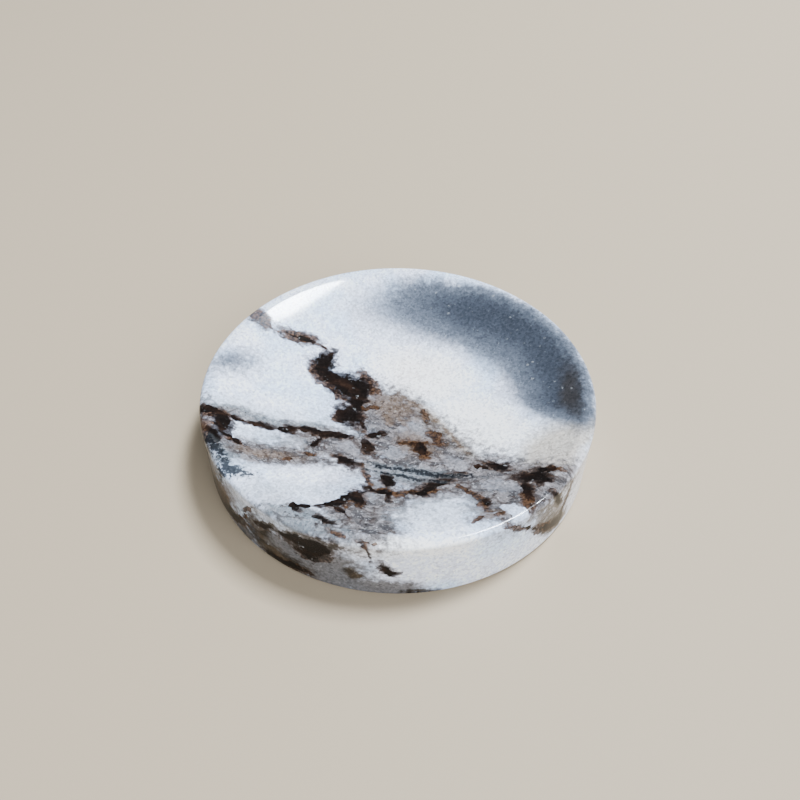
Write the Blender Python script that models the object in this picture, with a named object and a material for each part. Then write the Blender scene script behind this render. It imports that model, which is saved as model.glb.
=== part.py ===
"""Round stone soap dish: a low turned disc with a shallow dished top, and the four clear
anti-slip dots that hold it just off the shelf.

The frame is +Z up, with the origin at the middle of the surface that the dish stands on.
Every length is in metres.
"""

import math

import bmesh
import bpy

MM = 0.001

# Driving dimensions of the stone.
DISH_DIAMETER = 100 * MM
OVERALL_HEIGHT = 18.6 * MM  # from the shelf to the top of the lip
LIP_WIDTH = 3.4 * MM  # from the outer wall to the edge of the bowl
BOWL_DEPTH = 10 * MM  # below the lip
SHOULDER_ROUNDING = 1.4 * MM  # where the lip turns over into the wall
CREASE_ROUNDING = 0.8 * MM  # where the lip breaks into the bowl
FOOT_ROUNDING = 0.5 * MM  # the eased edge around the base

# Driving dimensions of the dots and the recesses that they sit in.
DOT_COUNT = 4
DOT_DIAMETER = 8 * MM
DOT_THICKNESS = 1 * MM
DOT_ROUNDING = 0.15 * MM
DOT_STAND_OFF = 0.4 * MM  # how far a dot holds the stone off the shelf
DOT_PITCH_RADIUS = 35 * MM
FIRST_DOT_ANGLE = math.radians(45)
FITTING_GAP = 0.3 * MM  # above and around a dot in its recess

# Facets: segments around a turned piece, and steps along each arc of its profile.
DISH_SEGMENTS = 96
DOT_SEGMENTS = 32
BOWL_STEPS = 18
SHOULDER_STEPS = 6
SMALL_ARC_STEPS = 3

DISH_RADIUS = DISH_DIAMETER / 2
BOWL_RADIUS = DISH_RADIUS - LIP_WIDTH
RECESS_RADIUS = DOT_DIAMETER / 2 + FITTING_GAP
RECESS_CEILING = DOT_THICKNESS + FITTING_GAP
SHARP_ANGLE = math.radians(35)
WELD_DISTANCE = 1e-7
QUARTER = math.pi / 2


def clear_scene():
    for obj in list(bpy.data.objects):
        bpy.data.objects.remove(obj, do_unlink=True)


def plain_material(name, colour, roughness, metallic=0.0):
    material = bpy.data.materials.new(name)
    material.use_nodes = True
    shader = material.node_tree.nodes["Principled BSDF"]
    shader.inputs["Base Color"].default_value = (*colour, 1)
    shader.inputs["Roughness"].default_value = roughness
    shader.inputs["Metallic"].default_value = metallic
    material.diffuse_color = (*colour, 1)
    return material


def arc(centre, radius, start, end, steps):
    """Points (r, z) along a circular arc from one angle to another, both ends included."""
    points = []
    for i in range(steps + 1):
        angle = start + (end - start) * i / steps
        points.append((centre[0] + radius * math.cos(angle), centre[1] + radius * math.sin(angle)))
    return points


def dish_profile():
    """The stone's half section, from the middle of the bowl over the lip and down to the base."""
    # The bowl is part of a ball whose centre is on the axis, high above the dish.
    ball_radius = (BOWL_RADIUS**2 + BOWL_DEPTH**2) / (2 * BOWL_DEPTH)
    ball_centre = (0, OVERALL_HEIGHT - BOWL_DEPTH + ball_radius)
    # The crease's arc touches both the flat lip and that ball.
    crease_z = OVERALL_HEIGHT - CREASE_ROUNDING
    drop = ball_centre[1] - crease_z
    crease_r = math.sqrt((ball_radius + CREASE_ROUNDING) ** 2 - drop**2)
    meeting = -math.atan2(drop, crease_r)
    shoulder_centre = (DISH_RADIUS - SHOULDER_ROUNDING, OVERALL_HEIGHT - SHOULDER_ROUNDING)
    foot_centre = (DISH_RADIUS - FOOT_ROUNDING, DOT_STAND_OFF + FOOT_ROUNDING)

    bowl = arc(ball_centre, ball_radius, -QUARTER, meeting, BOWL_STEPS)
    crease = arc((crease_r, crease_z), CREASE_ROUNDING, math.pi + meeting, QUARTER, SMALL_ARC_STEPS)
    shoulder = arc(shoulder_centre, SHOULDER_ROUNDING, QUARTER, 0, SHOULDER_STEPS)
    foot = arc(foot_centre, FOOT_ROUNDING, 0, -QUARTER, SMALL_ARC_STEPS)
    return bowl + crease[1:] + shoulder + foot


def dot_profile():
    """A dot's half section: square at its top, eased around the face that it stands on."""
    radius = DOT_DIAMETER / 2
    top = (radius, DOT_THICKNESS)
    return [top] + arc((radius - DOT_ROUNDING, DOT_ROUNDING), DOT_ROUNDING, 0, -QUARTER, SMALL_ARC_STEPS)


def recess_profile():
    """The cutter for a recess: it starts below the base, so that it cuts right through it."""
    return [(RECESS_RADIUS, RECESS_CEILING), (RECESS_RADIUS, -RECESS_CEILING)]


def turned(name, profile, segments):
    """A mesh turned about Z from a half section that runs down its outer side, top to bottom."""
    solid = bmesh.new()
    points = [solid.verts.new((r, 0, z)) for r, z in profile]
    for upper, lower in zip(points, points[1:]):
        solid.edges.new((upper, lower))
    bmesh.ops.spin(
        solid,
        geom=solid.verts[:] + solid.edges[:],
        cent=(0, 0, 0),
        axis=(0, 0, 1),
        angle=2 * math.pi,
        steps=segments,
        use_merge=True,
    )
    bmesh.ops.remove_doubles(solid, verts=solid.verts, dist=WELD_DISTANCE)
    open_rings = [edge for edge in solid.edges if edge.is_boundary]
    bmesh.ops.holes_fill(solid, edges=open_rings, sides=segments)
    bmesh.ops.recalc_face_normals(solid, faces=solid.faces)
    mesh = bpy.data.meshes.new(name)
    solid.to_mesh(mesh)
    solid.free()
    mesh.shade_smooth()
    mesh.set_sharp_from_angle(angle=SHARP_ANGLE)
    return mesh


def placed(name, mesh, location=(0, 0, 0), parent=None):
    obj = bpy.data.objects.new(name, mesh)
    obj.location = location
    obj.parent = parent
    bpy.context.scene.collection.objects.link(obj)
    return obj


def dot_places():
    for i in range(DOT_COUNT):
        angle = FIRST_DOT_ANGLE + 2 * math.pi * i / DOT_COUNT
        yield i + 1, (DOT_PITCH_RADIUS * math.cos(angle), DOT_PITCH_RADIUS * math.sin(angle), 0)


def make_dish(group, stone):
    """The stone itself, with a recess in its base for each dot."""
    mesh = turned("stone_dish", dish_profile(), DISH_SEGMENTS)
    mesh.materials.append(stone)
    dish = placed("stone_dish", mesh, parent=group)
    recess_mesh = turned("dot_recess", recess_profile(), DOT_SEGMENTS)
    for number, place in dot_places():
        cutter = placed(f"recess_cutter_{number}", recess_mesh, place, group)
        cutter.hide_render = True
        cutter.display_type = "WIRE"
        cut = dish.modifiers.new(f"recess_{number}", "BOOLEAN")
        cut.operation = "DIFFERENCE"
        cut.object = cutter
    return dish


def make_dots(group, rubber):
    """The anti-slip dots, each its own piece. Their lower faces are what the dish stands on."""
    mesh = turned("anti_slip_dot", dot_profile(), DOT_SEGMENTS)
    mesh.materials.append(rubber)
    for number, place in dot_places():
        placed(f"anti_slip_dot_{number}", mesh, place, group)


def main():
    clear_scene()
    group = placed("soap_dish", None)
    stone = plain_material("polished_marble", (0.75, 0.76, 0.78), 0.2)
    rubber = plain_material("clear_rubber", (0.72, 0.74, 0.73), 0.35)
    make_dish(group, stone)
    make_dots(group, rubber)


main()
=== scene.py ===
"""The looks of the round marble soap dish and its four anti-slip dots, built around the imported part.

Lengths are metres, except in the materials: their marks, noises and crystals are in millimetres.
"""

import math

import bmesh
import bpy
from mathutils import Matrix, Vector, noise


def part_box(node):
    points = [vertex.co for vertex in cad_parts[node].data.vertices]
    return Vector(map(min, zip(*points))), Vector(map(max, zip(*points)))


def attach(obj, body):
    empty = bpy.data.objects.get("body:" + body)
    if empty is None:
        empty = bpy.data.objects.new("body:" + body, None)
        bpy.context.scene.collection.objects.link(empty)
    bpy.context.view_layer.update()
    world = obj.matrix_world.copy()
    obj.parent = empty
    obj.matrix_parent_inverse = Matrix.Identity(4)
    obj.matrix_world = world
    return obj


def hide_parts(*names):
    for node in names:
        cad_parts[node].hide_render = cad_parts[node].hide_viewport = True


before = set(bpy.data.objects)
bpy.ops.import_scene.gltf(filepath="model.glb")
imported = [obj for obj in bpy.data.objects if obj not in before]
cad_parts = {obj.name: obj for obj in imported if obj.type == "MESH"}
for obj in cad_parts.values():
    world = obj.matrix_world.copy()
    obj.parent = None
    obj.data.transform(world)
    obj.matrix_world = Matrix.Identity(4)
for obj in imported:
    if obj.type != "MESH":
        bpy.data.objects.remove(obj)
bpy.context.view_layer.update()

MM = 0.001
QUARTER = math.pi / 2

# The stone, as the part has it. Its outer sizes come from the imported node.
STONE_LOW, STONE_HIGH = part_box("stone_dish")
DISH_RADIUS = STONE_HIGH.x
DISH_TOP = STONE_HIGH.z
DISH_BASE = STONE_LOW.z
LIP_WIDTH = 3.4 * MM
BOWL_DEPTH = 10 * MM
SHOULDER_ROUNDING = 1.4 * MM
CREASE_ROUNDING = 0.8 * MM
FOOT_ROUNDING = 0.5 * MM
BOWL_RADIUS = DISH_RADIUS - LIP_WIDTH
BALL_RADIUS = (BOWL_RADIUS**2 + BOWL_DEPTH**2) / (2 * BOWL_DEPTH)

# The dots and their recesses.
DOT_NODES = [f"anti_slip_dot_{number}" for number in (1, 2, 3, 4)]
DOT_ROUNDING = 0.15 * MM
FITTING_GAP = 0.3 * MM

# How finely the meshes are divided, round the axis and along the half section.
DISH_SEGMENTS = 320
DOT_SEGMENTS = 96
FLOOR_SEGMENTS = 96
BOWL_STEPS = 60
CREASE_STEPS = 8
LIP_STEPS = 3
SHOULDER_STEPS = 12
WALL_STEPS = 14
FOOT_STEPS = 6
DOT_RIM_STEPS = 6
WELD_DISTANCE = 1e-7
SHARP_ANGLE = 35

# How far the hand-polished stone strays from a true turned shape, and over what length.
HAND_WAVE = 0.05 * MM
HAND_WAVE_LENGTH = 14 * MM

FLOOR_RADIUS = 3.0
FLOOR_UNDERSIDE = (2.9, -0.01)

# The marks in the stone: (x, y, half length, half width, turn in degrees), in millimetres seen from above.
# +x is to the right and +y away from the viewer.

# Whiter, pinker, browner and bluer patches in the white.
WHITE_AND_LIP_HIGHLIGHT = (
    (21, -8, 17, 9, -45),
    (6, 12, 14, 9, -30),
    # A painted highlight along the front lip.
    (4, -48.6, 16, 2, 3),
)
BLUSH = (
    (4, 14, 9, 7, -30),
)
WARM_AND_SHADE = (
    # These two, inside the right rim, are painted shade.
    (38, -20, 9, 6, 60),
    (44, -14, 7, 4, 75),
    (12, -9, 12, 2, -55),
)
COOL = (
    (-30, -6.6, 18, 3.6, 0),
    (9, -38, 9, 5.5, 5),
    (-28, -33.5, 12, 3, 9),
    (-43, -6, 6, 3, 0),
    (-21, -42, 12, 4.2, -30),
    (2, -23.5, 9, 3, -12),
    (-38, -26, 8, 3, -38),
    (-33, -14.8, 8, 2.6, -3),
)
# The smoky edge of the blue-grey cloud, and a faint grey patch far from it.
SMOKE = (
    (44.3, -1.5, 9, 2.4, -93),
)
FAINT = (
    (-43.6, 8.8, 6.5, 3.6, 40),
)
# The broken grey region, and the paler pieces that are whole in it.
HAZE = (
    (-3, -1, 9, 7.5, -35),
    (3, -11, 15, 8.5, -30),
    (-13, -14, 14, 5, 0),
    (8, -22, 19, 7, -8),
    (23, -27, 15, 6.5, -12),
    (25, -34, 8, 8, -40),
    (-6, -32, 9, 6, -20),
    (-8, -40, 9, 7, -50),
    (-30, -20.7, 14, 3.6, 2),
    (-32, -8.9, 19, 1.8, 0),
    (33, -33, 9, 5, 45),
    (-20, -42, 11, 3.4, -30),
    (8, -31, 10, 3, 0),
)
PALE = (
    (-25, -31, 18.5, 7.2, 9),
    (26, -40, 4, 1.8, -40),
)
PEBBLES = (
    (9.5, -39, 9.5, 7, 5),
    (4.2, -8, 4.2, 3.6, 0),
    (-12, -15.5, 3.4, 1.8, -20),
    (-1, -15.5, 3.6, 2.2, 10),
    (14, -20.5, 3.6, 2.2, -35),
    (-5, 5, 3, 1.6, -20),
    (24, -30.5, 4.4, 2.4, -30),
    (-32, -14.6, 9, 2.7, -3),
    (-5.2, -27.6, 2.4, 1.4, -10),
    (-6.6, -32, 2.2, 1.5, -62),
)
# Brown: thin stains and rust. Then near-black marks, and blue-black lines.
TEA = (
    (-1.5, 1.2, 6, 3.6, -30),
    (-1, 2.6, 5, 1.8, -18),
    (4.5, -12.5, 6, 3, -45),
    (-31, -21, 7, 1.3, 4),
    (-2.6, -2.4, 3.2, 1.2, -75),
    (1.3, -4, 2.6, 0.5, -65),
    (11.5, -6, 7, 0.4, -58),
    (14.5, -11.5, 6, 0.35, -60),
    (3.5, 3, 4.5, 0.8, -42),
    (-28, 22.6, 5.5, 2, -13),
    (20, -41, 4, 1.2, 15),
)
RUST = (
    (-28, 22.6, 5, 1.8, -13),
    (-38.8, 26.4, 3.8, 2.1, -38),
    (-35.4, 23.8, 1.8, 0.5, -55),
    (-22, 20.4, 2.8, 0.5, -12),
    (-8.6, 11.2, 3.6, 1.3, -52),
    (-6.6, 8, 3, 1.4, -60),
    (-21.3, 10.6, 5.2, 1.5, -55),
    (-17, 5.3, 4.2, 0.9, -42),
    (-15.2, -3.6, 1.9, 1.4, 80),
    (-7.2, 0.7, 2.6, 0.6, 8),
    (7.3, -2, 2.1, 1, -70),
    (9.7, -10.2, 3.1, 1.4, -60),
    (3.3, -12, 3.2, 1.1, -10),
    (6, -15.4, 3.2, 1.3, -60),
    (-7.3, -25, 3.8, 0.9, -75),
    (-9, -34, 2.8, 1, -72),
    (-11.2, -36.6, 1.7, 0.7, 70),
    (5, -30.3, 4.8, 0.8, 5),
    (-2.5, -30.3, 3.8, 0.9, -10),
    (16.5, -31.5, 3.4, 0.7, -52),
    (19, -36, 3.4, 1, -78),
    (18, -41.8, 2.2, 0.5, 35),
    (22.4, -40.8, 1.6, 0.5, 30),
    (29.3, -36.5, 2.6, 1.2, -75),
    (37, -27, 1.7, 0.7, -25),
    (-46, -10.2, 4, 1.6, -12),
    (-45.8, -17, 4.2, 1.8, 110),
    (-39, -18.6, 3.2, 0.6, -32),
    (-21.3, -18.6, 2.3, 0.6, 0),
    (-26, -21.7, 1.7, 0.5, 30),
    (-12, -46.6, 2.2, 0.5, -30),
    (-6, -48.6, 2, 0.5, -12),
)
DARK = (
    (-26.5, 22.2, 3, 0.4, -16),
    (-20.2, 14.9, 3.6, 2.5, 80),
    (-18.7, 18, 2.2, 0.9, 70),
    (-17.3, 9.4, 4.4, 2.1, -38),
    (-13.4, 7.4, 4.4, 3.2, -45),
    (-9.9, 6.6, 3.7, 2.2, 95),
    (-11, 2.2, 2.8, 1.7, 90),
    (-12.5, -2.8, 3.3, 2.7, 120),
    (-9.6, -5.4, 2.2, 0.5, -60),
    (-46.5, -9.2, 3.7, 0.9, -8),
    (-39.6, -10.6, 3.8, 0.45, -20),
    (-34.3, -11, 3, 0.9, 6),
    (-27.5, -10.3, 2, 1.3, 10),
    (-22.8, -9.4, 2.8, 0.55, 5),
    (-19, -10.2, 3.2, 0.9, -3),
    (-14.6, -10.8, 2.4, 0.85, -5),
    (-19.8, -12.8, 2.3, 0.8, 72),
    (-42.8, -13.5, 3.9, 1.9, 105),
    (-43.8, -18.4, 2.6, 1.4, 110),
    (-39.6, -17.8, 2.6, 0.5, -35),
    (-5.6, -9, 2.1, 1, 15),
    (-7.4, -14, 2.5, 1.1, 100),
    (-12.5, -20, 2.8, 1.1, -25),
    (-2.3, -26, 2, 1.3, 100),
    (10.5, -26.5, 4.5, 1.3, 22),
    (7.5, -29.4, 2.2, 0.8, 50),
    (5.6, -14.3, 2.6, 0.9, -60),
    (-5, -29.9, 3.4, 0.7, -15),
    (-10.8, -32.6, 3.8, 0.45, 35),
    (-9.3, -32.8, 2.5, 1.5, -62),
    (-14.2, -36, 2.9, 1, 30),
    (-19.5, -37.6, 3.8, 0.35, 18),
    (-22, -38.8, 1.4, 0.5, -40),
    (-13.3, -38.4, 2.7, 0.45, -48),
    (5.6, -31.2, 2.2, 0.8, -20),
    (-2, -31.6, 1.6, 0.6, 90),
    (24.3, -23, 2.9, 0.9, -28),
    (20.4, -22.9, 2.8, 0.4, -25),
    (31, -29, 3.5, 1.8, -12),
    (34, -26.4, 2.4, 0.9, -10),
    (33.4, -30.6, 2, 1.2, 45),
    (29.5, -33.5, 2.8, 1, 102),
    (20.3, -36.2, 1.4, 0.6, 90),
    (-15.5, -42.2, 2.7, 0.6, -28),
)
INK = (
    (-2.2, -20.9, 4.2, 0.55, -12),
    (4.5, -22.8, 4.4, 0.75, -12),
    (9, -24.3, 4, 0.6, -14),
    (-4.7, -20.7, 1.2, 0.8, 0),
    (-42.4, -23, 2.4, 1.1, -50),
    (-40.2, -26, 2.4, 1.0, -40),
    (-37.8, -28.7, 3.8, 1.3, -8),
    (-40.3, -29, 2, 0.8, 0),
    (17, -25.3, 2.6, 0.4, -15),
    (-44.6, -20.6, 1.8, 0.9, -60),
    (1.5, -24.5, 6.5, 0.45, -14),
)
# Marks that only the wall shows, some of them painted shade: (azimuth in degrees, height, half length, half
# width, lean in degrees).
WALL_CLOUD = (
    (38, 9, 20, 4.5, 6),
    (76, 8, 13, 4, -12),
    (10, 10, 10, 4, 0),
)
WALL_HAZE = (
    (-45, 12, 4.6, 4, -30),
    (-172, 10, 12, 7, 30),
    (116, 7, 7, 3.6, 48),
)
# Grey-brown parts of the wall, partly painted shade: the entry low at -94 degrees is painted shade along the
# base, and the one at -151 degrees is painted shade on the side away from the window.
WALL_SMOOTH_AND_SHADE = (
    (-107, 6.5, 9.5, 7.5, 0),
    (-121, 6, 8, 6, -20),
    (-94, 2.5, 8, 3.6, -8),
    (-151, 5, 6, 6, 10),
    (-42, 6, 4.5, 3, -25),
)
# Stains on the wall with painted shade: the entries from -124 to -176 degrees paint the shade on the side
# away from the window, warmed like light thrown up from the floor.
WALL_STAIN_AND_SHADE = (
    (-130, 9, 4.4, 5, 10),
    (-124, 3, 10, 3.2, -6),
    (-137, 3, 7, 3.6, 0),
    (-155, 4, 13, 6, 20),
    (-176, 8, 10, 8, 0),
    # A painted contact shadow along the base.
    (-84, 1, 4, 0.8, 0),
    (-41, 5.2, 3.2, 2, -20),
    (-100.5, 7.5, 2.4, 1.3, -40),
)
# Painted shade with warm floor light on the wall's left side, laid in the thin stains' brown.
WALL_WARM_SHADE = (
    (-143, 12, 5, 4, 20),
    (-150, 14, 4, 3, 0),
)
WALL_RUST = (
    (-43.5, 6.3, 4.5, 1.5, -28),
    (-37.6, 10.5, 6, 1.1, 70),
    (-97.2, 16, 3.4, 0.4, -60),
    (-132.5, 14, 3, 0.6, 62),
    (-137.3, 7, 6.5, 0.4, 57),
    (113, 8, 9, 0.8, 48),
    (160, 6, 7, 0.7, 35),
    (-56.6, 15, 5.4, 0.7, -44),
    (-47, 8.4, 5.2, 1.3, -34),
)
WALL_DARK_AND_BASE_SHADOW = (
    (-113.6, 14.6, 6, 2, 9),
    (-110, 13.4, 3.2, 3.4, 0),
    (-113, 11, 3, 2.2, -25),
    (-126.5, 12.5, 2.4, 1.2, 30),
    (-92.3, 10.3, 2.8, 1, -50),
    (-91.5, 9.5, 1.7, 0.9, -15),
    (-42.6, 15, 3, 1.1, -68),
    (-41, 5.4, 3.2, 1.6, -30),
    (-45.5, 7.6, 3.4, 0.5, -32),
    (-37.8, 9, 4.4, 0.45, 72),
    (-53.5, 12.6, 4.6, 0.3, -42),
    (-121, 2, 5, 1.1, 5),
    # A painted contact shadow along the base.
    (-84, 0.8, 3, 0.25, 0),
    (-146, 3, 8, 1.6, 25),
    (-165, 9, 8, 1.5, 50),
    (114, 7.5, 7.5, 0.35, 48),
    (153, 9.5, 3.5, 0.9, 40),
)
# How far marks run down into the stone, and how far sideways the stone's layers lean as they do. Marks near
# the front edge stay shallow, because the wall has its own there.
DEEP_REACH = 26
FRONT_REACH = 5
FRONT_EDGE_Y = -24
FRONT_EDGE_RADIUS = 36
WALL_REACH = 3.5
LAYER_LEAN = (0.16, -0.22)
# How far around itself a mark is felt, in its own half sizes.
MARK_SPAN = 2.6

# How each kind of mark fades: how far noise frays its edge, then how far from its middle it starts and
# where it is whole, all in its own half sizes.
FADES = {
    "light": (0.8, 1.5, 0.4),
    "blush": (0.8, 1.6, 0.3),
    "warm_and_shade": (0.8, 1.8, 0.7),
    "wall cloud": (1.6, 1.9, 0.2),
    "faint": (1.4, 1.9, 0.2),
    "smoke": (0.9, 1.8, 0.3),
    "haze": (2.2, 1.5, 0.8),
    "halo": (1.0, 2.1, 0.9),
    "pale": (0.6, 1.06, 0.9),
    "pebbles": (1.4, 1.2, 0.7),
    "smooth_and_shade": (1.2, 1.6, 0.8),
    "stain_and_shade": (1.6, 1.6, 0.6),
    "cool": (2.0, 1.5, 0.4),
    "tea_and_shade": (2.0, 1.6, 0.5),
    "rust": (2.0, 1.7, 0.9),
    "teal": (1.4, 2.3, 1.2),
    "ink": (5.0, 1.5, 0.8),
}
# The near-black marks are frayed twice. Their edge starts, turns from rust to dark brown, and goes black.
DARK_FRAY = 1.2
DARK_EDGE = (1.75, 1.2)
DARK_EDGE_TURN = (1.5, 1.1)
DARK_CORE = (1.35, 0.8)

# How much of what is under it each kind covers.
STRENGTH = {
    "light": 1,
    "blush": 0.5,
    "warm_and_shade": 0.85,
    "wall cloud": 0.65,
    "faint": 0.95,
    "smoke": 0.8,
    "halo": 0.4,
    "pebbles": 0.7,
    "haze": 0.95,
    "glints": 0.6,
    "smooth_and_shade": 0.92,
    "stain_and_shade": 0.92,
    "cool": 0.4,
    "tea_and_shade": 0.6,
    "seams": 0.6,
    "rust": 0.92,
    "specks": 0.8,
    "dark edge": 0.85,
    "teal": 0.25,
    "ink": 0.92,
    "sparks": 0.2,
}

# The cloud follows a ring. It fades outwards, further inwards, and towards both ends, in degrees.
CLOUD_CENTRE = (4, -1, 0)
CLOUD_RADIUS = 37.8
CLOUD_FRAY = 5
CLOUD_OUTER = (12.5, 1.5)
CLOUD_INNER = (-20, 1.5)
CLOUD_START = (-23, -3)
CLOUD_END = (138, 59)
# How much sooner its near end stops further inwards, in radians for each millimetre.
CLOUD_ROUNDING = 0.014
# Where, in the cloud's shade, its pale and its dark colour come in.
CLOUD_PALE_PART = (0.0, 0.55)
CLOUD_DARK_PART = (0.4, 1.0)

# The noises: (size of the largest blotches in millimetres, detail, roughness).
FRAY = (1.8, 5.0, 0.65)
STREAKS = (1.4, 5.0, 0.7)
DRIFT = (16, 3.0, 0.5)
GRAIN = (0.5, 2.0, 0.7)
MOTTLE = (2.8, 2.5, 0.55)
CRUMBS = (0.9, 3.0, 0.65)
RELIEF = (5, 1.0, 0.5)
# How far noise moves the marks about: (blotch size, amount).
FINE_WARP = ((7, 2.6), (1.8, 1.0))
SOFT_WARP = ((12, 5), (2, 1.6))
# The layers that the broken region's streaks follow: their turn in degrees, and how much longer than wide.
GRAIN_TURN = -12
GRAIN_STRETCH = 2.4
# The sizes of the stone's crystals, fragments, clusters of crystals and broken pieces, in millimetres, and
# how far a mark's edge is drawn towards the clusters' middles.
CRYSTAL = 0.6
FRAGMENT = 1.1
CLUSTER = 1.5
CLUSTER_PULL = 0.55
PIECE = 4.5

# Where each ramp over a noise goes from 0 to 1.
BODY_DRIFT = (0.38, 0.62)
BROKEN_RANGE = (0.48, 0.70)
GLINT_RANGE = (0.44, 0.35)
STAIN_AND_SHADE_RANGE = (0.35, 0.65)
SEAM_RANGE = (0.46, 0.56)
SEAM_EDGE = (0.11, 0.03)
RUST_RANGE = (0.36, 0.66)
SPECK_RANGE = (0.57, 0.66)
DARK_RANGE = (0.45, 0.7)
INK_GAPS = (0.3, 0.42)
SPARK_RANGE = (0.96, 0.99)
SPARK_PATCHES = (0.5, 0.65)
# How much the crumbs, the mottling and the fragments each tell in the broken region's tone.
BROKEN_TONE = (0.5, 0.45, 0.2)
PEBBLE_CLEARING = 0.5
# How much the grain, the crumbs and the crystals' facets each shade the colour, and what they are added to.
SHADING = (0.9, 0.4, 0.5, 0.1)

# The stone's colours.
COLD_WHITE = (0.57, 0.69, 0.90)
WHITE = (0.72, 0.77, 0.92)
PURE_WHITE = (0.94, 0.95, 0.98)
PINK = (0.82, 0.74, 0.72)
BEIGE = (0.43, 0.37, 0.29)
COOL_BLUE = (0.30, 0.36, 0.42)
CLOUD_PALE = (0.12, 0.14, 0.18)
CLOUD_DARK = (0.034, 0.041, 0.056)
SMOKE_BROWN = (0.022, 0.019, 0.018)
HALO_GREY = (0.22, 0.20, 0.205)
PEBBLE_GREY = (0.19, 0.18, 0.186)
BROKEN_DARK = (0.028, 0.023, 0.021)
BROKEN_PALE = (0.185, 0.167, 0.168)
GLINT = (0.42, 0.41, 0.44)
SMOOTH_AND_SHADE_BROWN = (0.085, 0.074, 0.066)
STAIN_AND_SHADE_DARK = (0.014, 0.010, 0.006)
STAIN_AND_SHADE_OLIVE = (0.060, 0.042, 0.025)
TEA_AND_SHADE_BROWN = (0.13, 0.085, 0.055)
SEAM_BROWN = (0.03, 0.017, 0.011)
RUST_DARK = (0.010, 0.005, 0.003)
RUST_BROWN = (0.085, 0.042, 0.020)
SPECK_BLACK = (0.012, 0.008, 0.007)
EDGE_BROWN = (0.016, 0.008, 0.005)
BROWN_BLACK = (0.006, 0.0045, 0.004)
DARK_BROWN = (0.018, 0.010, 0.007)
TEAL = (0.10, 0.11, 0.12)
BLUE_BLACK = (0.006, 0.007, 0.009)
SPARK = (0.9, 0.93, 0.96)
PALEST = (0.96, 0.96, 0.96)

# The polish. Below these heights the base goes from polished to honed. Grain and veins add to the roughness,
# and veins and the wall's grey-brown parts, which are partly painted shade, take away from the mirroring.
HONED_BELOW = (0.9, 0.45)
POLISHED_ROUGHNESS = 0.05
GRAIN_ROUGHNESS = 0.05
VEIN_ROUGHNESS = 0.08
HONED_ROUGHNESS = 0.4
FULL_SPECULAR = 0.5
VEIN_DULLING = 0.45
SMOOTH_DULLNESS = 0.8
GRAIN_RELIEF = 0.05
RELIEF_DEPTH = 0.02 * MM

# The dots' clear rubber.
RUBBER_CLOUDS = (2.5, 3.0, 0.5)
RUBBER_PIMPLES = (0.25, 1.0, 0.5)
RUBBER_DIM = (0.72, 0.74, 0.73)
RUBBER_PALE = (0.86, 0.88, 0.87)
RUBBER_ROUGHNESS = 0.25
RUBBER_CLOUD_ROUGHNESS = 0.2
PIMPLE_DEPTH = 0.03 * MM

FLOOR_COLOUR = (0.37, 0.295, 0.205, 1)

# The colour sockets of a mix node, by number, because its sockets for other kinds have the same names.
MIX_FACTOR = 0
MIX_FIRST = 6
MIX_SECOND = 7
MIX_RESULT = 2


def arc(centre, radius, start, end, steps):
    """Points (r, z) along a circular arc from one angle to another, both ends included."""
    points = []
    for i in range(steps + 1):
        angle = start + (end - start) * i / steps
        points.append((centre[0] + radius * math.cos(angle), centre[1] + radius * math.sin(angle)))
    return points


def straight(start, end, steps):
    """Points between two ends, the first one left out and the last one included."""
    return [
        (start[0] + (end[0] - start[0]) * i / steps, start[1] + (end[1] - start[1]) * i / steps)
        for i in range(1, steps + 1)
    ]


def dish_profile():
    """The stone's half section, from the middle of the bowl over the lip and down to the base."""
    ball_centre = (0, DISH_TOP - BOWL_DEPTH + BALL_RADIUS)
    crease_z = DISH_TOP - CREASE_ROUNDING
    drop = ball_centre[1] - crease_z
    crease_r = math.sqrt((BALL_RADIUS + CREASE_ROUNDING) ** 2 - drop**2)
    meeting = -math.atan2(drop, crease_r)
    shoulder_centre = (DISH_RADIUS - SHOULDER_ROUNDING, DISH_TOP - SHOULDER_ROUNDING)
    foot_centre = (DISH_RADIUS - FOOT_ROUNDING, DISH_BASE + FOOT_ROUNDING)

    points = arc(ball_centre, BALL_RADIUS, -QUARTER, meeting, BOWL_STEPS)
    points += arc((crease_r, crease_z), CREASE_ROUNDING, math.pi + meeting, QUARTER, CREASE_STEPS)[1:]
    points += straight(points[-1], (shoulder_centre[0], DISH_TOP), LIP_STEPS)
    points += arc(shoulder_centre, SHOULDER_ROUNDING, QUARTER, 0, SHOULDER_STEPS)[1:]
    points += straight(points[-1], (DISH_RADIUS, foot_centre[1]), WALL_STEPS)
    points += arc(foot_centre, FOOT_ROUNDING, 0, -QUARTER, FOOT_STEPS)[1:]
    return points


def turned(name, profile, segments):
    """A mesh turned about Z from a half section that runs down its outer side, top to bottom."""
    solid = bmesh.new()
    points = [solid.verts.new((r, 0, z)) for r, z in profile]
    for upper, lower in zip(points, points[1:]):
        solid.edges.new((upper, lower))
    bmesh.ops.spin(
        solid,
        geom=solid.verts[:] + solid.edges[:],
        cent=(0, 0, 0),
        axis=(0, 0, 1),
        angle=2 * math.pi,
        steps=segments,
        use_merge=True,
    )
    bmesh.ops.remove_doubles(solid, verts=solid.verts, dist=WELD_DISTANCE)
    open_rings = [edge for edge in solid.edges if edge.is_boundary]
    bmesh.ops.holes_fill(solid, edges=open_rings, sides=segments)
    bmesh.ops.recalc_face_normals(solid, faces=solid.faces)
    mesh = bpy.data.meshes.new(name)
    solid.to_mesh(mesh)
    solid.free()
    return mesh


def placed(name, mesh, location=(0, 0, 0)):
    obj = bpy.data.objects.new(name, mesh)
    obj.location = location
    bpy.context.scene.collection.objects.link(obj)
    return obj


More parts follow.
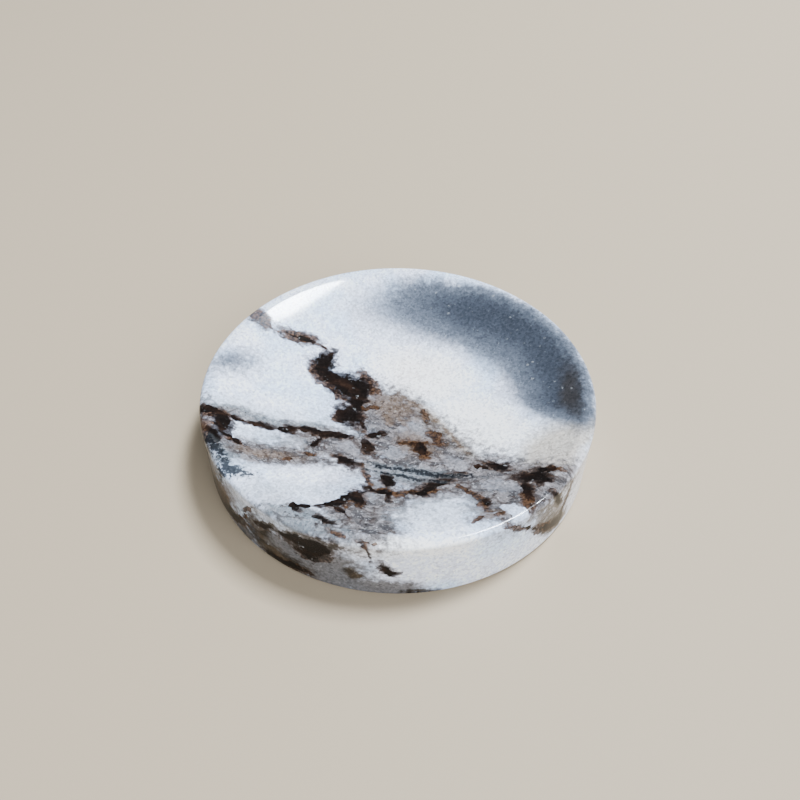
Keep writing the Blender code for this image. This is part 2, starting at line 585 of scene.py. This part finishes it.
def cut_recesses(dish):
    """Sinks a round recess into the base for each dot, and keeps the result as the dish's mesh."""
    cutters = []
    for node in DOT_NODES:
        low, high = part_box(node)
        radius = (high.x - low.x) / 2 + FITTING_GAP
        ceiling = high.z + FITTING_GAP
        mesh = turned("recess_cutter", [(radius, ceiling), (radius, -ceiling)], DOT_SEGMENTS)
        cutters.append(placed("recess_cutter", mesh, ((low.x + high.x) / 2, (low.y + high.y) / 2, 0)))
        cut = dish.modifiers.new("recess", "BOOLEAN")
        cut.operation = "DIFFERENCE"
        cut.object = cutters[-1]
    graph = bpy.context.evaluated_depsgraph_get()
    whole = bpy.data.meshes.new_from_object(dish.evaluated_get(graph))
    dish.modifiers.clear()
    dish.data = whole
    for cutter in cutters:
        bpy.data.objects.remove(cutter, do_unlink=True)


def hand_grind(mesh):
    """Moves the upper surfaces in and out a little, as hand polishing leaves them."""
    normals = [vertex.normal.copy() for vertex in mesh.vertices]
    for vertex, normal in zip(mesh.vertices, normals):
        if vertex.co.z > DISH_BASE + 3 * FOOT_ROUNDING:
            vertex.co += normal * noise.noise(vertex.co / HAND_WAVE_LENGTH) * HAND_WAVE


class Graph:
    """Adds nodes to one material. A value is a number, a tuple or the output of another node."""

    def __init__(self, name):
        self.material = bpy.data.materials.new(name)
        self.material.use_nodes = True
        self.tree = self.material.node_tree
        self.shader = self.tree.nodes["Principled BSDF"]

    def put(self, socket, value):
        if isinstance(value, bpy.types.NodeSocket):
            self.tree.links.new(value, socket)
        else:
            socket.default_value = value

    def add(self, kind, inputs, output=0, **settings):
        node = self.tree.nodes.new(kind)
        for name, setting in settings.items():
            setattr(node, name, setting)
        for key, value in inputs.items():
            self.put(node.inputs[key], value)
        return node.outputs[output]

    def maths(self, operation, *values):
        return self.add("ShaderNodeMath", dict(enumerate(values)), operation=operation)

    def vectors(self, operation, *values):
        output = "Value" if operation == "LENGTH" else "Vector"
        return self.add("ShaderNodeVectorMath", dict(enumerate(values)), output, operation=operation)

    def triple(self, value):
        """One value as all three parts of a vector."""
        return self.add("ShaderNodeCombineXYZ", {0: value, 1: value, 2: value})

    def millimetres(self):
        """The place on the object, in millimetres."""
        metres = self.add("ShaderNodeTexCoord", {}, "Object")
        return self.vectors("MULTIPLY", metres, (1 / MM, 1 / MM, 1 / MM))

    def ramp(self, value, zero_at, one_at):
        """0 to 1 as the value goes from the first number to the second, eased at both ends."""
        inputs = {"Value": value, "From Min": zero_at, "From Max": one_at}
        return self.add("ShaderNodeMapRange", inputs, interpolation_type="SMOOTHSTEP")

    def mix(self, factor, first, second):
        """The first colour going over to the second. Each is (red, green, blue) or the output of a node."""
        first, second = ((*colour, 1) if isinstance(colour, tuple) else colour for colour in (first, second))
        inputs = {MIX_FACTOR: factor, MIX_FIRST: first, MIX_SECOND: second}
        return self.add("ShaderNodeMix", inputs, MIX_RESULT, data_type="RGBA")

    def blotches(self, place, size, detail, roughness=0.5, output="Fac"):
        """Cloudy noise whose largest blotches are about this many millimetres across."""
        inputs = {"Vector": place, "Scale": 1 / size, "Detail": detail, "Roughness": roughness}
        return self.add("ShaderNodeTexNoise", inputs, output)

    def cells(self, place, size, output, **settings):
        """Voronoi cells about this many millimetres across."""
        return self.add("ShaderNodeTexVoronoi", {"Vector": place, "Scale": 1 / size}, output, **settings)

    def marks(self, place, shapes):
        """How far a place is from the nearest of these ellipsoids: 0 in its middle, 1 on its surface."""
        strongest = 0
        for centre, turns, sizes in shapes:
            spans = [MARK_SPAN * size for size in sizes]
            inputs = {"Vector": place, "Location": centre, "Rotation": turns, "Scale": spans}
            inside = self.add("ShaderNodeMapping", inputs, vector_type="TEXTURE")
            fading = self.add("ShaderNodeTexGradient", {"Vector": inside}, "Fac", gradient_type="SPHERICAL")
            strongest = self.maths("MAXIMUM", strongest, fading)
        return self.maths("MULTIPLY_ADD", strongest, -MARK_SPAN, MARK_SPAN)


def top_shapes(marks):
    """Ellipsoids for marks seen from above."""
    for x, y, half_length, half_width, turn in marks:
        near_front = y < FRONT_EDGE_Y and math.hypot(x, y) > FRONT_EDGE_RADIUS
        reach = FRONT_REACH if near_front else DEEP_REACH
        yield (x, y, 0), (0, 0, math.radians(turn)), (half_length, half_width, reach)


def wall_shapes(marks):
    """Ellipsoids for marks on the wall, which lie along it and lean in its surface."""
    for azimuth, height, half_length, half_width, lean in marks:
        angle = math.radians(azimuth)
        radius = DISH_RADIUS / MM
        depth = DISH_TOP / MM - height
        across = radius * math.cos(angle) + LAYER_LEAN[0] * depth
        away = radius * math.sin(angle) + LAYER_LEAN[1] * depth
        turns = (0, math.radians(lean), angle + QUARTER)
        yield (across, away, depth), turns, (half_length, WALL_REACH, half_width)


class Marble(Graph):
    """The stone's material. Each step lays its marks over the colour that the steps before it left."""

    def __init__(self):
        super().__init__("polished_marble")
        self.place = self.millimetres()
        self.height = self.add("ShaderNodeSeparateXYZ", {"Vector": self.place}, "Z")
        layered = self.layered_place()
        self.fine = self.warped(layered, FINE_WARP)
        self.soft = self.warped(layered, SOFT_WARP)
        self.angular = self.snapped(self.fine)
        turns = (0, 0, math.radians(GRAIN_TURN))
        streaked = {"Vector": self.fine, "Rotation": turns, "Scale": (GRAIN_STRETCH, 1, 1)}
        streaked = self.add("ShaderNodeMapping", streaked, vector_type="TEXTURE")
        self.fray = self.blotches(self.place, *FRAY)
        self.streaks = self.blotches(streaked, *STREAKS)
        self.drift = self.blotches(self.place, *DRIFT)
        self.grain = self.blotches(self.place, *GRAIN)
        self.mottle = self.blotches(streaked, *MOTTLE)
        self.crumbs = self.blotches(self.place, *CRUMBS)
        self.flash, self.facet = self.crystal_values(self.place, CRYSTAL, "Red", "Green")
        (self.fragment,) = self.crystal_values(streaked, FRAGMENT, "Red")
        self.colour = self.mix(self.ramp(self.drift, *BODY_DRIFT), COLD_WHITE, WHITE)

    def layered_place(self):
        """The place as (x, y, depth below the top), in millimetres and sheared as the stone's layers lean."""
        flat = self.vectors("MULTIPLY", self.place, (1, 1, 0))
        radius = self.vectors("LENGTH", flat)
        ball = BALL_RADIUS / MM
        squared = self.maths("MULTIPLY_ADD", radius, self.maths("MULTIPLY", radius, -1), ball**2)
        drop = self.maths("SQRT", self.maths("MAXIMUM", squared, 0))
        bowl = self.maths("SUBTRACT", (DISH_TOP - BOWL_DEPTH) / MM + ball, drop)
        top = self.maths("MINIMUM", bowl, DISH_TOP / MM)
        depth = self.maths("MAXIMUM", self.maths("SUBTRACT", top, self.height), 0)
        below = self.vectors("MULTIPLY", self.triple(depth), (*LAYER_LEAN, 1))
        return self.vectors("ADD", flat, below)

    def warped(self, place, layers):
        """The place moved about by noise, for each (blotch size, amount) in millimetres."""
        moved = place
        for size, amount in layers:
            tints = self.blotches(place, size, detail=1.0, output="Color")
            shift = self.vectors("SUBTRACT", tints, (0.5, 0.5, 0.5))
            moved = self.vectors("MULTIPLY_ADD", shift, (amount, amount, amount / 2), moved)
        return moved

    def snapped(self, place):
        """The place drawn towards the middle of its crystal cluster, for marks with angular edges."""
        pull = self.vectors("SUBTRACT", self.cells(place, CLUSTER, "Position"), place)
        return self.vectors("MULTIPLY_ADD", pull, (CLUSTER_PULL, CLUSTER_PULL, CLUSTER_PULL), place)

    def crystal_values(self, place, size, *channels):
        """Random values from 0 to 1, each the same all over a crystal this many millimetres across."""
        inputs = {"Color": self.cells(place, size, "Color")}
        return [self.add("ShaderNodeSeparateColor", inputs, channel) for channel in channels]

    def ragged(self, distance, roughening, amount):
        """A distance made uneven by noise, so that a mark's edge frays."""
        return self.maths("MULTIPLY_ADD", roughening, amount, self.maths("SUBTRACT", distance, amount / 2))

    def fade(self, kind, distance, roughening):
        """0 far from the marks of this kind and 1 within them, from the distance to them, as FADES says."""
        fraying, outside, inside = FADES[kind]
        return self.ramp(self.ragged(distance, roughening, fraying), outside, inside)

    def lay(self, kind, amount, tint):
        """Covers the colour with another by this amount, weakened as STRENGTH says for this kind of mark."""
        self.colour = self.mix(self.maths("MULTIPLY", amount, STRENGTH[kind]), self.colour, tint)

    def body(self):
        """Whiter, pinker and browner patches in the white, with a painted highlight along the front lip and
        painted shade inside the right rim.
        """
        patches = (("light", WHITE_AND_LIP_HIGHLIGHT, PURE_WHITE), ("blush", BLUSH, PINK), ("warm_and_shade", WARM_AND_SHADE, BEIGE))
        for kind, shapes, tint in patches:
            distance = self.marks(self.soft, top_shapes(shapes))
            self.lay(kind, self.fade(kind, distance, self.drift), tint)

    def cloud(self):
        """The blue-grey cloud with its parts on the wall, a faint patch far from it, and its smoky edge."""
        shade = self.cloud_shade()
        self.colour = self.mix(self.ramp(shade, *CLOUD_PALE_PART), self.colour, CLOUD_PALE)
        self.colour = self.mix(self.ramp(shade, *CLOUD_DARK_PART), self.colour, CLOUD_DARK)
        patches = (
            ("wall cloud", wall_shapes(WALL_CLOUD), CLOUD_PALE),
            ("faint", top_shapes(FAINT), CLOUD_PALE),
            ("smoke", top_shapes(SMOKE), SMOKE_BROWN),
        )
        for kind, shapes, tint in patches:
            self.lay(kind, self.fade(kind, self.marks(self.soft, shapes), self.fray), tint)

    def cloud_shade(self):
        """How dark the cloud is: 0 outside it and 1 at its darkest."""
        arm = self.vectors("SUBTRACT", self.vectors("MULTIPLY", self.soft, (1, 1, 0)), CLOUD_CENTRE)
        outwards = self.maths("SUBTRACT", self.vectors("LENGTH", arm), CLOUD_RADIUS)
        outwards = self.ragged(outwards, self.fray, CLOUD_FRAY)
        across = self.add("ShaderNodeSeparateXYZ", {"Vector": arm}, "X")
        away = self.add("ShaderNodeSeparateXYZ", {"Vector": arm}, "Y")
        along = self.maths("ARCTAN2", away, across)
        # The near end is rounded: the further inwards, the sooner the cloud stops.
        near = self.maths("MULTIPLY_ADD", outwards, CLOUD_ROUNDING, along)
        sides = self.maths("MULTIPLY", self.ramp(outwards, *CLOUD_OUTER), self.ramp(outwards, *CLOUD_INNER))
        start = self.ramp(near, *(math.radians(angle) for angle in CLOUD_START))
        end = self.ramp(along, *(math.radians(angle) for angle in CLOUD_END))
        return self.maths("MULTIPLY", sides, self.maths("MULTIPLY", start, end))

    def broken_region(self):
        """The mottled grey region with the paler pieces left in it, and a halo around it."""
        distance = self.marks(self.soft, [*top_shapes(HAZE), *wall_shapes(WALL_HAZE)])
        haze = self.fade("haze", distance, self.fray)
        halo = self.fade("halo", distance, self.drift)
        pale = self.fade("pale", self.marks(self.angular, top_shapes(PALE)), self.fray)
        pebbles = self.fade("pebbles", self.marks(self.angular, top_shapes(PEBBLES)), self.fray)
        whole = self.maths("MAXIMUM", pale, self.maths("MULTIPLY", pebbles, PEBBLE_CLEARING))
        self.broken = self.maths("MULTIPLY", haze, self.maths("SUBTRACT", 1, whole))

        crumbs_share, mottle_share, fragment_share = BROKEN_TONE
        tone = self.maths("MULTIPLY", self.mottle, mottle_share)
        tone = self.maths("MULTIPLY_ADD", self.crumbs, crumbs_share, tone)
        tone = self.maths("MULTIPLY_ADD", self.fragment, fragment_share, tone)
        grey = self.mix(self.ramp(tone, *BROKEN_RANGE), BROKEN_DARK, BROKEN_PALE)
        glints = self.maths("MULTIPLY", self.ramp(self.crumbs, *GLINT_RANGE), self.broken)
        self.lay("halo", halo, HALO_GREY)
        self.lay("pebbles", self.maths("MULTIPLY", haze, pebbles), PEBBLE_GREY)
        self.lay("haze", self.broken, grey)
        self.lay("glints", glints, GLINT)

    def wall_browns(self):
        """The wall's even grey-brown parts and its stains, both partly painted shade, then bluer patches on
        the top.
        """
        self.smooth_and_shade = self.fade("smooth_and_shade", self.marks(self.soft, wall_shapes(WALL_SMOOTH_AND_SHADE)), self.fray)
        self.stain_and_shade = self.fade("stain_and_shade", self.marks(self.soft, wall_shapes(WALL_STAIN_AND_SHADE)), self.fray)
        cool = self.fade("cool", self.marks(self.soft, top_shapes(COOL)), self.fray)
        stain_and_shade_olive = self.mix(self.ramp(self.mottle, *STAIN_AND_SHADE_RANGE), STAIN_AND_SHADE_DARK, STAIN_AND_SHADE_OLIVE)
        self.lay("smooth_and_shade", self.smooth_and_shade, SMOOTH_AND_SHADE_BROWN)
        self.lay("stain_and_shade", self.stain_and_shade, stain_and_shade_olive)
        self.lay("cool", cool, COOL_BLUE)

    def browns(self):
        """Thin stains that the light comes through, with painted warm shade on the wall's left side in their
        brown, seams between the pieces, rust and dark specks.
        """
        distance = self.marks(self.angular, [*top_shapes(TEA), *wall_shapes(WALL_WARM_SHADE)])
        self.lay("tea_and_shade", self.fade("tea_and_shade", distance, self.fray), TEA_AND_SHADE_BROWN)
        edge = self.cells(self.soft, PIECE, "Distance", feature="DISTANCE_TO_EDGE")
        seams = self.maths("MULTIPLY", self.ramp(edge, *SEAM_EDGE), self.ramp(self.mottle, *SEAM_RANGE))
        self.lay("seams", self.maths("MULTIPLY", seams, self.broken), SEAM_BROWN)
        distance = self.marks(self.angular, [*top_shapes(RUST), *wall_shapes(WALL_RUST)])
        self.rust = self.fade("rust", distance, self.streaks)
        self.rust_colour = self.mix(self.ramp(self.crumbs, *RUST_RANGE), RUST_DARK, RUST_BROWN)
        self.lay("rust", self.rust, self.rust_colour)
        specks = self.maths("MULTIPLY", self.ramp(self.crumbs, *SPECK_RANGE), self.broken)
        self.lay("specks", specks, SPECK_BLACK)

    def darks(self):
        """Near-black marks that pass through brown at their edges, and the blue-black lines."""
        distance = self.marks(self.angular, [*top_shapes(DARK), *wall_shapes(WALL_DARK_AND_BASE_SHADOW)])
        distance = self.ragged(self.ragged(distance, self.fray, DARK_FRAY), self.streaks, DARK_FRAY)
        edge_colour = self.mix(self.ramp(distance, *DARK_EDGE_TURN), self.rust_colour, EDGE_BROWN)
        self.lay("dark edge", self.ramp(distance, *DARK_EDGE), edge_colour)
        self.dark = self.ramp(distance, *DARK_CORE)
        dark_colour = self.mix(self.ramp(self.mottle, *DARK_RANGE), BROWN_BLACK, DARK_BROWN)
        self.colour = self.mix(self.dark, self.colour, dark_colour)

        distance = self.marks(self.fine, top_shapes(INK))
        self.lay("teal", self.fade("teal", distance, self.fray), TEAL)
        ink = self.fade("ink", distance, self.crumbs)
        self.ink = self.maths("MULTIPLY", ink, self.ramp(self.fray, *INK_GAPS))
        self.lay("ink", self.ink, BLUE_BLACK)

    def sugar(self):
        """The sugary grain, and painted glints on the few crystals that catch the light."""
        grain_share, crumbs_share, facet_share, base = SHADING
        shade = self.maths("MULTIPLY_ADD", self.crumbs, crumbs_share, base)
        shade = self.maths("MULTIPLY_ADD", self.grain, grain_share, shade)
        shade = self.maths("MULTIPLY_ADD", self.facet, facet_share, shade)
        self.colour = self.vectors("MULTIPLY", self.colour, self.triple(shade))
        self.colour = self.vectors("MINIMUM", self.colour, PALEST)
        # Painted glints: sparse crystals made brighter in the colour.
        patches = self.ramp(self.fray, *SPARK_PATCHES)
        self.lay("sparks", self.maths("MULTIPLY", self.ramp(self.flash, *SPARK_RANGE), patches), SPARK)
        self.put(self.shader.inputs["Base Color"], self.colour)

    def polish(self):
        """The top and the wall are polished. The base is only honed, and the veins take less polish."""
        honed = self.ramp(self.height, *HONED_BELOW)
        brown = self.maths("MAXIMUM", self.rust, self.dark)
        veined = self.maths("MAXIMUM", brown, self.maths("MAXIMUM", self.stain_and_shade, self.ink))
        gloss = self.maths("MULTIPLY_ADD", self.grain, GRAIN_ROUGHNESS, POLISHED_ROUGHNESS)
        gloss = self.maths("MULTIPLY_ADD", veined, VEIN_ROUGHNESS, gloss)
        self.put(self.shader.inputs["Roughness"], self.maths("MULTIPLY_ADD", honed, HONED_ROUGHNESS, gloss))
        dull = self.maths("MAXIMUM", veined, self.maths("MULTIPLY", self.smooth_and_shade, SMOOTH_DULLNESS))
        specular = self.maths("MULTIPLY_ADD", dull, -VEIN_DULLING, FULL_SPECULAR)
        self.put(self.shader.inputs["Specular IOR Level"], specular)
        self.put(self.shader.inputs["IOR"], 1.5)
        self.put(self.shader.inputs["Subsurface Weight"], 0.2)
        self.put(self.shader.inputs["Subsurface Radius"], (1.0, 0.9, 0.8))
        self.put(self.shader.inputs["Subsurface Scale"], 0.8 * MM)
        # The relief leaves the marks out, because a bump works its height out three times over.
        relief = self.maths("MULTIPLY_ADD", self.grain, GRAIN_RELIEF, self.blotches(self.place, *RELIEF))
        bump = {"Height": relief, "Strength": 1.0, "Distance": RELIEF_DEPTH}
        self.put(self.shader.inputs["Normal"], self.add("ShaderNodeBump", bump, "Normal"))


def marble():
    stone = Marble()
    stone.body()
    stone.cloud()
    stone.broken_region()
    stone.wall_browns()
    stone.browns()
    stone.darks()
    stone.sugar()
    stone.polish()
    return stone.material


def clear_rubber():
    """The dots' soft clear plastic, slightly cloudy, with a fine moulded texture."""
    g = Graph("clear_rubber")
    place = g.millimetres()
    cloud = g.blotches(place, *RUBBER_CLOUDS)
    pimples = g.blotches(place, *RUBBER_PIMPLES)
    roughness = g.maths("MULTIPLY_ADD", cloud, RUBBER_CLOUD_ROUGHNESS, RUBBER_ROUGHNESS)
    bump = {"Height": pimples, "Strength": 0.6, "Distance": PIMPLE_DEPTH}
    g.put(g.shader.inputs["Base Color"], g.mix(cloud, RUBBER_DIM, RUBBER_PALE))
    g.put(g.shader.inputs["Roughness"], roughness)
    g.put(g.shader.inputs["IOR"], 1.43)
    g.put(g.shader.inputs["Transmission Weight"], 0.5)
    g.put(g.shader.inputs["Normal"], g.add("ShaderNodeBump", bump, "Normal"))
    return g.material


def finish_mesh(mesh, material):
    mesh.materials.clear()
    mesh.materials.append(material)
    mesh.shade_smooth()
    mesh.set_sharp_from_angle(angle=math.radians(SHARP_ANGLE))


def make_dish():
    dish = placed("marble_dish", turned("marble_dish", dish_profile(), DISH_SEGMENTS))
    cut_recesses(dish)
    hand_grind(dish.data)
    finish_mesh(dish.data, marble())
    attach(dish, "root")
    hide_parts("stone_dish")


def make_dots():
    """A fine dot for each packed one, with a rounded edge under it."""
    rubber = clear_rubber()
    for number, node in enumerate(DOT_NODES, 1):
        low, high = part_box(node)
        radius = (high.x - low.x) / 2
        rim = arc((radius - DOT_ROUNDING, DOT_ROUNDING), DOT_ROUNDING, 0, -QUARTER, DOT_RIM_STEPS)
        profile = [(radius - DOT_ROUNDING / 2, high.z), (radius, high.z - DOT_ROUNDING / 2), *rim]
        mesh = turned(f"clear_dot_{number}", profile, DOT_SEGMENTS)
        finish_mesh(mesh, rubber)
        dot = placed(f"clear_dot_{number}", mesh, ((low.x + high.x) / 2, (low.y + high.y) / 2, 0))
        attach(dot, "root")
        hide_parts(node)


def make_floor():
    g = Graph("pale_floor")
    g.put(g.shader.inputs["Base Color"], FLOOR_COLOUR)
    g.put(g.shader.inputs["Roughness"], 0.7)
    mesh = turned("floor", [(FLOOR_RADIUS, 0.0), FLOOR_UNDERSIDE], FLOOR_SEGMENTS)
    mesh.materials.append(g.material)
    placed("floor", mesh)


def make_camera():
    """Looks down from the front at 45 degrees, with the dish a little below the middle of the view."""
    elevation = math.radians(45.38)
    roll = math.radians(0.53)
    distance = 216.8 * MM
    pan = 0.58 * MM
    rise = 8.77 * MM
    back = Vector((0, -math.cos(elevation), math.sin(elevation)))
    level_up = Vector((0, math.sin(elevation), math.cos(elevation)))
    level_right = Vector((1, 0, 0))
    right = math.cos(roll) * level_right + math.sin(roll) * level_up
    up = math.cos(roll) * level_up - math.sin(roll) * level_right
    data = bpy.data.cameras.new("camera")
    data.sensor_width = 36
    data.lens = 36
    camera = bpy.data.objects.new("camera", data)
    place = back * distance + right * pan + up * rise
    camera.matrix_world = Matrix.Translation(place) @ Matrix((right, up, back)).transposed().to_4x4()
    bpy.context.scene.collection.objects.link(camera)
    bpy.context.scene.camera = camera


def soft_light(name, place, turns, sizes, power, colour):
    """A rectangular light. With no turns it shines straight down."""
    data = bpy.data.lights.new(name, "AREA")
    data.shape = "RECTANGLE"
    data.size, data.size_y = sizes
    data.energy = power
    data.color = colour
    light = bpy.data.objects.new(name, data)
    light.location = place
    light.rotation_euler = [math.radians(turn) for turn in turns]
    bpy.context.scene.collection.objects.link(light)


def make_lights():
    """A window-like softbox high at the far right, which the bowl mirrors, and a large one in front."""
    world = bpy.data.worlds.new("studio")
    world.use_nodes = True
    background = world.node_tree.nodes["Background"]
    background.inputs["Color"].default_value = (0.90, 0.95, 1.0, 1)
    background.inputs["Strength"].default_value = 0.28
    bpy.context.scene.world = world
    soft_light(
        "window",
        place=(0.555, 0.432, 1.6),
        turns=(0, 0, 55.4),
        sizes=(0.555, 0.30),
        power=88,
        colour=(0.86, 0.93, 1.0),
    )
    soft_light(
        "fill",
        place=(1.0, -1.7, 1.4),
        turns=(54, 0, 30),
        sizes=(2.4, 1.8),
        power=98,
        colour=(0.90, 0.95, 1.0),
    )


make_dish()
make_dots()
make_floor()
make_camera()
make_lights()
